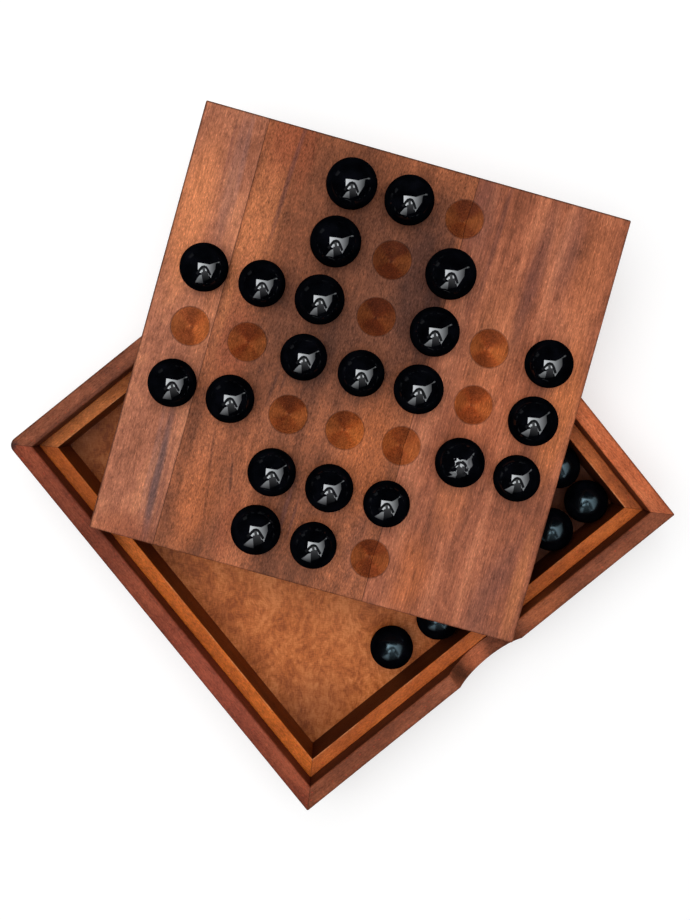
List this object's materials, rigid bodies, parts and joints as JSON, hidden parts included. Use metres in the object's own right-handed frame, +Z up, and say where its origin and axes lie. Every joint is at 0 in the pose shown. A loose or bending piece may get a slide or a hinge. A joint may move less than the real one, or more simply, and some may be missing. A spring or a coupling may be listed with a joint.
{
  "type": "peg solitaire board",
  "caption": "Peg solitaire set: a square wooden box with a stepped rim and a finger notch, a loose wooden board with a cross of conical seats, and black glass marbles.",
  "frame": {"origin": "centre of the box's flat base, on the surface that it stands on", "axes": "+Z up; -Y towards the front rail, which has the finger notch; +X to the right"},
  "size_m": [0.215, 0.2125, 0.0521],
  "materials": {
    "rail_wood": "oiled, satin",
    "ledge_wood": "oiled, satin",
    "board_wood": "oiled, satin",
    "plywood": "stained, satin",
    "black_glass": "polished"
  },
  "bodies": {
    "box": {"front_rail": "rail_wood", "right_rail": "rail_wood", "back_rail": "rail_wood", "left_rail": "rail_wood", "front_ledge": "ledge_wood", "right_ledge": "ledge_wood", "back_ledge": "ledge_wood", "left_ledge": "ledge_wood", "floor_panel": "plywood"},
    "board": {"plank_left": "board_wood", "plank_middle": "board_wood", "plank_right": "board_wood"},
    "marble_01_ball": {"marble_01": "black_glass"},
    "marble_02_ball": {"marble_02": "black_glass"},
    "marble_03_ball": {"marble_03": "black_glass"},
    "marble_04_ball": {"marble_04": "black_glass"},
    "marble_05_ball": {"marble_05": "black_glass"},
    "marble_06_ball": {"marble_06": "black_glass"},
    "marble_07_ball": {"marble_07": "black_glass"},
    "marble_08_ball": {"marble_08": "black_glass"},
    "marble_09_ball": {"marble_09": "black_glass"},
    "marble_10_ball": {"marble_10": "black_glass"},
    "marble_11_ball": {"marble_11": "black_glass"},
    "marble_12_ball": {"marble_12": "black_glass"},
    "marble_13_ball": {"marble_13": "black_glass"},
    "marble_14_ball": {"marble_14": "black_glass"},
    "marble_15_ball": {"marble_15": "black_glass"},
    "marble_16_ball": {"marble_16": "black_glass"},
    "marble_17_ball": {"marble_17": "black_glass"},
    "marble_18_ball": {"marble_18": "black_glass"},
    "marble_19_ball": {"marble_19": "black_glass"},
    "marble_20_ball": {"marble_20": "black_glass"},
    "marble_21_ball": {"marble_21": "black_glass"},
    "marble_22_ball": {"marble_22": "black_glass"},
    "tray_marble_01_ball": {"tray_marble_01": "black_glass"},
    "tray_marble_02_ball": {"tray_marble_02": "black_glass"},
    "tray_marble_03_ball": {"tray_marble_03": "black_glass"},
    "tray_marble_04_ball": {"tray_marble_04": "black_glass"},
    "tray_marble_05_ball": {"tray_marble_05": "black_glass"},
    "tray_marble_06_ball": {"tray_marble_06": "black_glass"},
    "tray_marble_07_ball": {"tray_marble_07": "black_glass"},
    "tray_marble_08_ball": {"tray_marble_08": "black_glass"},
    "tray_marble_09_ball": {"tray_marble_09": "black_glass"},
    "tray_marble_10_ball": {"tray_marble_10": "black_glass"}
  },
  "joints": [
    {"name": "board_lift", "type": "slide", "parent": "box", "child": "board", "axis": [0, 0, 1], "range_m": [0, 0.06]},
    {"name": "marble_01_lift", "type": "slide", "parent": "board", "child": "marble_01_ball", "axis": [0, 0, 1], "range_m": [0, 0.02]},
    {"name": "marble_02_lift", "type": "slide", "parent": "board", "child": "marble_02_ball", "axis": [0, 0, 1], "range_m": [0, 0.02]},
    {"name": "marble_03_lift", "type": "slide", "parent": "board", "child": "marble_03_ball", "axis": [0, 0, 1], "range_m": [0, 0.02]},
    {"name": "marble_04_lift", "type": "slide", "parent": "board", "child": "marble_04_ball", "axis": [0, 0, 1], "range_m": [0, 0.02]},
    {"name": "marble_05_lift", "type": "slide", "parent": "board", "child": "marble_05_ball", "axis": [0, 0, 1], "range_m": [0, 0.02]},
    {"name": "marble_06_lift", "type": "slide", "parent": "board", "child": "marble_06_ball", "axis": [0, 0, 1], "range_m": [0, 0.02]},
    {"name": "marble_07_lift", "type": "slide", "parent": "board", "child": "marble_07_ball", "axis": [0, 0, 1], "range_m": [0, 0.02]},
    {"name": "marble_08_lift", "type": "slide", "parent": "board", "child": "marble_08_ball", "axis": [0, 0, 1], "range_m": [0, 0.02]},
    {"name": "marble_09_lift", "type": "slide", "parent": "board", "child": "marble_09_ball", "axis": [0, 0, 1], "range_m": [0, 0.02]},
    {"name": "marble_10_lift", "type": "slide", "parent": "board", "child": "marble_10_ball", "axis": [0, 0, 1], "range_m": [0, 0.02]},
    {"name": "marble_11_lift", "type": "slide", "parent": "board", "child": "marble_11_ball", "axis": [0, 0, 1], "range_m": [0, 0.02]},
    {"name": "marble_12_lift", "type": "slide", "parent": "board", "child": "marble_12_ball", "axis": [0, 0, 1], "range_m": [0, 0.02]},
    {"name": "marble_13_lift", "type": "slide", "parent": "board", "child": "marble_13_ball", "axis": [0, 0, 1], "range_m": [0, 0.02]},
    {"name": "marble_14_lift", "type": "slide", "parent": "board", "child": "marble_14_ball", "axis": [0, 0, 1], "range_m": [0, 0.02]},
    {"name": "marble_15_lift", "type": "slide", "parent": "board", "child": "marble_15_ball", "axis": [0, 0, 1], "range_m": [0, 0.02]},
    {"name": "marble_16_lift", "type": "slide", "parent": "board", "child": "marble_16_ball", "axis": [0, 0, 1], "range_m": [0, 0.02]},
    {"name": "marble_17_lift", "type": "slide", "parent": "board", "child": "marble_17_ball", "axis": [0, 0, 1], "range_m": [0, 0.02]},
    {"name": "marble_18_lift", "type": "slide", "parent": "board", "child": "marble_18_ball", "axis": [0, 0, 1], "range_m": [0, 0.02]},
    {"name": "marble_19_lift", "type": "slide", "parent": "board", "child": "marble_19_ball", "axis": [0, 0, 1], "range_m": [0, 0.02]},
    {"name": "marble_20_lift", "type": "slide", "parent": "board", "child": "marble_20_ball", "axis": [0, 0, 1], "range_m": [0, 0.02]},
    {"name": "marble_21_lift", "type": "slide", "parent": "board", "child": "marble_21_ball", "axis": [0, 0, 1], "range_m": [0, 0.02]},
    {"name": "marble_22_lift", "type": "slide", "parent": "board", "child": "marble_22_ball", "axis": [0, 0, 1], "range_m": [0, 0.02]},
    {"name": "tray_marble_01_lift", "type": "slide", "parent": "box", "child": "tray_marble_01_ball", "axis": [0, 0, 1], "range_m": [0, 0.05]},
    {"name": "tray_marble_02_lift", "type": "slide", "parent": "box", "child": "tray_marble_02_ball", "axis": [0, 0, 1], "range_m": [0, 0.05]},
    {"name": "tray_marble_03_lift", "type": "slide", "parent": "box", "child": "tray_marble_03_ball", "axis": [0, 0, 1], "range_m": [0, 0.05]},
    {"name": "tray_marble_04_roll", "type": "slide", "parent": "box", "child": "tray_marble_04_ball", "axis": [0, 1, 0], "range_m": [0, 0.1109]},
    {"name": "tray_marble_05_roll", "type": "slide", "parent": "box", "child": "tray_marble_05_ball", "axis": [0, 1, 0], "range_m": [0, 0.1265]},
    {"name": "tray_marble_06_roll", "type": "slide", "parent": "box", "child": "tray_marble_06_ball", "axis": [0, 1, 0], "range_m": [0, 0.1101]},
    {"name": "tray_marble_07_roll", "type": "slide", "parent": "box", "child": "tray_marble_07_ball", "axis": [0, 1, 0], "range_m": [0, 0.1265]},
    {"name": "tray_marble_08_roll", "type": "slide", "parent": "box", "child": "tray_marble_08_ball", "axis": [0, 1, 0], "range_m": [0, 0.1159]},
    {"name": "tray_marble_09_roll", "type": "slide", "parent": "box", "child": "tray_marble_09_ball", "axis": [-1, 0, 0], "range_m": [0, 0.0404]},
    {"name": "tray_marble_10_roll", "type": "slide", "parent": "box", "child": "tray_marble_10_ball", "axis": [-1, 0, 0], "range_m": [0, 0.0322]}
  ]
}
